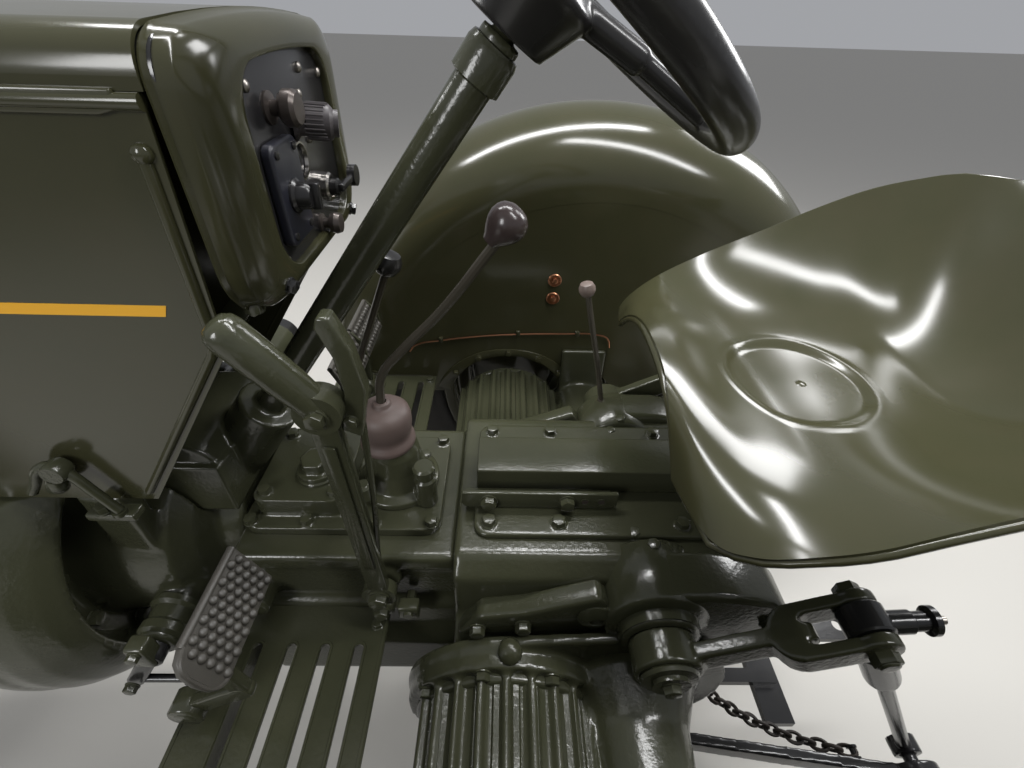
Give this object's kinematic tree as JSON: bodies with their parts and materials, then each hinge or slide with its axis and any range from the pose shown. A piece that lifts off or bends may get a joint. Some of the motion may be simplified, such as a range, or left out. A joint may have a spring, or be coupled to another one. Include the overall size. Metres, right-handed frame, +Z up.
{
  "type": "vintage farm tractor",
  "caption": "Open farm tractor with a hinged-side hood, clamshell fenders, pan seat, wheel steering, pedals and levers, and a rear three-point lift linkage.",
  "frame": {"origin": "on the floor below the middle of the machine's length and width", "axes": "the machine faces -X, its left side is towards -Y, +Z is up"},
  "size_m": [2.743, 1.424, 1.7597],
  "materials": {
    "body_paint": "gloss enamel over sheet",
    "cast_paint": "gloss enamel over rough castings",
    "black_paint": "gloss black",
    "dark_steel": "worn dark enamel on steel",
    "exhaust_black": "matt heat-proof black",
    "radiator_black": "matt black",
    "boot_rubber": "aged reddish-grey rubber",
    "knob_plastic": "aged brown",
    "rim_plastic": "gloss black",
    "dash_black": "satin black with plain fittings",
    "lamp_glass": "clear",
    "tyre_rubber": "black"
  },
  "bodies": {
    "chassis": {"engine_block": "cast_paint", "clutch_housing": "cast_paint", "gearbox": "cast_paint", "rear_case": "cast_paint", "gearbox_cover": "cast_paint", "shift_tower": "cast_paint", "shift_boot": "boot_rubber", "gear_levers": "dark_steel", "lever_knobs": "knob_plastic", "hand_lever": "dark_steel", "final_drives": "cast_paint", "lift_housing": "cast_paint", "seat_arm": "cast_paint", "seat_pan": "body_paint", "fenders": "body_paint", "footplates": "body_paint", "clutch_pedal": "cast_paint", "brake_pedals": "cast_paint", "front_support": "cast_paint", "radiator": "radiator_black", "front_axle": "cast_paint", "hood_top": "body_paint", "hood_nose": "body_paint", "grille": "black_paint", "cowl": "body_paint", "dash_panel": "dash_black", "steering_column": "black_paint", "headlamps": "black_paint", "lamp_glass": "lamp_glass", "exhaust": "exhaust_black", "drawbar": "black_paint"},
    "steering_wheel": {"steering_wheel": "rim_plastic"},
    "pitman_arm": {"pitman_arm": "black_paint"},
    "drag_link": {"drag_link": "black_paint"},
    "knuckle_left": {"knuckle_left": "cast_paint"},
    "knuckle_right": {"knuckle_right": "cast_paint"},
    "tie_rod": {"tie_rod": "black_paint"},
    "rear_wheel_left": {"rear_wheel_left": "body_paint", "rear_tyre_left": "tyre_rubber"},
    "rear_wheel_right": {"rear_wheel_right": "body_paint", "rear_tyre_right": "tyre_rubber"},
    "front_wheel_left": {"front_wheel_left": "body_paint", "front_tyre_left": "tyre_rubber"},
    "front_wheel_right": {"front_wheel_right": "body_paint", "front_tyre_right": "tyre_rubber"},
    "lift_arms": {"lift_arms": "black_paint"},
    "lift_rod_left": {"lift_rod_left": "black_paint"},
    "lift_rod_right": {"lift_rod_right": "black_paint"},
    "lower_link_left": {"lower_link_left": "cast_paint"},
    "lower_link_right": {"lower_link_right": "cast_paint"},
    "hood_side_left": {"hood_side_left": "body_paint"},
    "hood_side_right": {"hood_side_right": "body_paint"}
  },
  "joints": [
    {"name": "steering_left", "type": "hinge", "parent": "chassis", "child": "knuckle_left", "pos_m": [-1.043, -0.47, 0.33], "axis": [0, 0, 1], "range_deg": [-35, 35]},
    {"name": "steering_right", "type": "hinge", "parent": "chassis", "child": "knuckle_right", "pos_m": [-1.043, 0.47, 0.33], "axis": [0, 0, 1], "range_deg": [-35, 35]},
    {"name": "tie_rod_turn", "type": "hinge", "parent": "knuckle_left", "child": "tie_rod", "pos_m": [-0.893, -0.47, 0.392], "axis": [0, 0, 1], "range_deg": [-36, 36]},
    {"name": "pitman_swing", "type": "hinge", "parent": "chassis", "child": "pitman_arm", "pos_m": [0.082, 0.246, 0.85], "axis": [0, 1, 0], "range_deg": [-19, 19]},
    {"name": "drag_link_pitch", "type": "hinge", "parent": "pitman_arm", "child": "drag_link", "pos_m": [0.082, 0.274, 0.65], "axis": [0, 1, 0], "range_deg": [-19, 19]},
    {"name": "steering_wheel_turn", "type": "hinge", "parent": "chassis", "child": "steering_wheel", "pos_m": [0.51, 0, 1.349], "axis": [0.6018, 0, 0.7986], "range_deg": [-430, 430]},
    {"name": "rear_left_roll", "type": "hinge", "parent": "chassis", "child": "rear_wheel_left", "pos_m": [0.657, -0.577, 0.565], "axis": [0, 1, 0], "continuous": true},
    {"name": "rear_right_roll", "type": "hinge", "parent": "chassis", "child": "rear_wheel_right", "pos_m": [0.657, 0.577, 0.565], "axis": [0, 1, 0], "continuous": true},
    {"name": "front_left_roll", "type": "hinge", "parent": "knuckle_left", "child": "front_wheel_left", "pos_m": [-1.043, -0.6, 0.33], "axis": [0, 1, 0], "continuous": true},
    {"name": "front_right_roll", "type": "hinge", "parent": "knuckle_right", "child": "front_wheel_right", "pos_m": [-1.043, 0.6, 0.33], "axis": [0, 1, 0], "continuous": true},
    {"name": "lift_arms_raise", "type": "hinge", "parent": "chassis", "child": "lift_arms", "pos_m": [0.672, 0, 0.72], "axis": [0, -1, 0], "range_deg": [-35, 20]},
    {"name": "lift_rod_left_swing", "type": "hinge", "parent": "lift_arms", "child": "lift_rod_left", "pos_m": [0.85953, -0.232, 0.81887], "axis": [0, -1, 0], "range_deg": [-17, 29.2]},
    {"name": "lower_link_left_lift", "type": "hinge", "parent": "chassis", "child": "lower_link_left", "pos_m": [0.657, -0.205, 0.4], "axis": [0, -1, 0], "range_deg": [-19.3, 11.2]},
    {"name": "lift_rod_right_swing", "type": "hinge", "parent": "lift_arms", "child": "lift_rod_right", "pos_m": [0.85953, 0.232, 0.81887], "axis": [0, -1, 0], "range_deg": [-17, 29.2]},
    {"name": "lower_link_right_lift", "type": "hinge", "parent": "chassis", "child": "lower_link_right", "pos_m": [0.657, 0.205, 0.4], "axis": [0, -1, 0], "range_deg": [-19.3, 11.2]},
    {"name": "hood_side_left_open", "type": "hinge", "parent": "chassis", "child": "hood_side_left", "pos_m": [-0.243, -0.15, 1.268], "axis": [-1, 0, 0], "range_deg": [0, 80]},
    {"name": "hood_side_right_open", "type": "hinge", "parent": "chassis", "child": "hood_side_right", "pos_m": [-0.243, 0.15, 1.268], "axis": [1, 0, 0], "range_deg": [0, 80]}
  ],
  "couplings": [
    {"joint": "steering_right", "follows": "steering_left", "ratio": 1},
    {"joint": "tie_rod_turn", "follows": "steering_left", "ratio": -1},
    {"joint": "pitman_swing", "follows": "steering_left", "ratio": -0.525},
    {"joint": "drag_link_pitch", "follows": "steering_left", "ratio": 0.525},
    {"joint": "steering_wheel_turn", "follows": "steering_left", "ratio": 12},
    {"joint": "lift_rod_left_swing", "follows": "lift_arms_raise", "ratio": -0.8156},
    {"joint": "lower_link_left_lift", "follows": "lift_arms_raise", "ratio": 0.5359},
    {"joint": "lift_rod_right_swing", "follows": "lift_arms_raise", "ratio": -0.8156},
    {"joint": "lower_link_right_lift", "follows": "lift_arms_raise", "ratio": 0.5359}
  ]
}
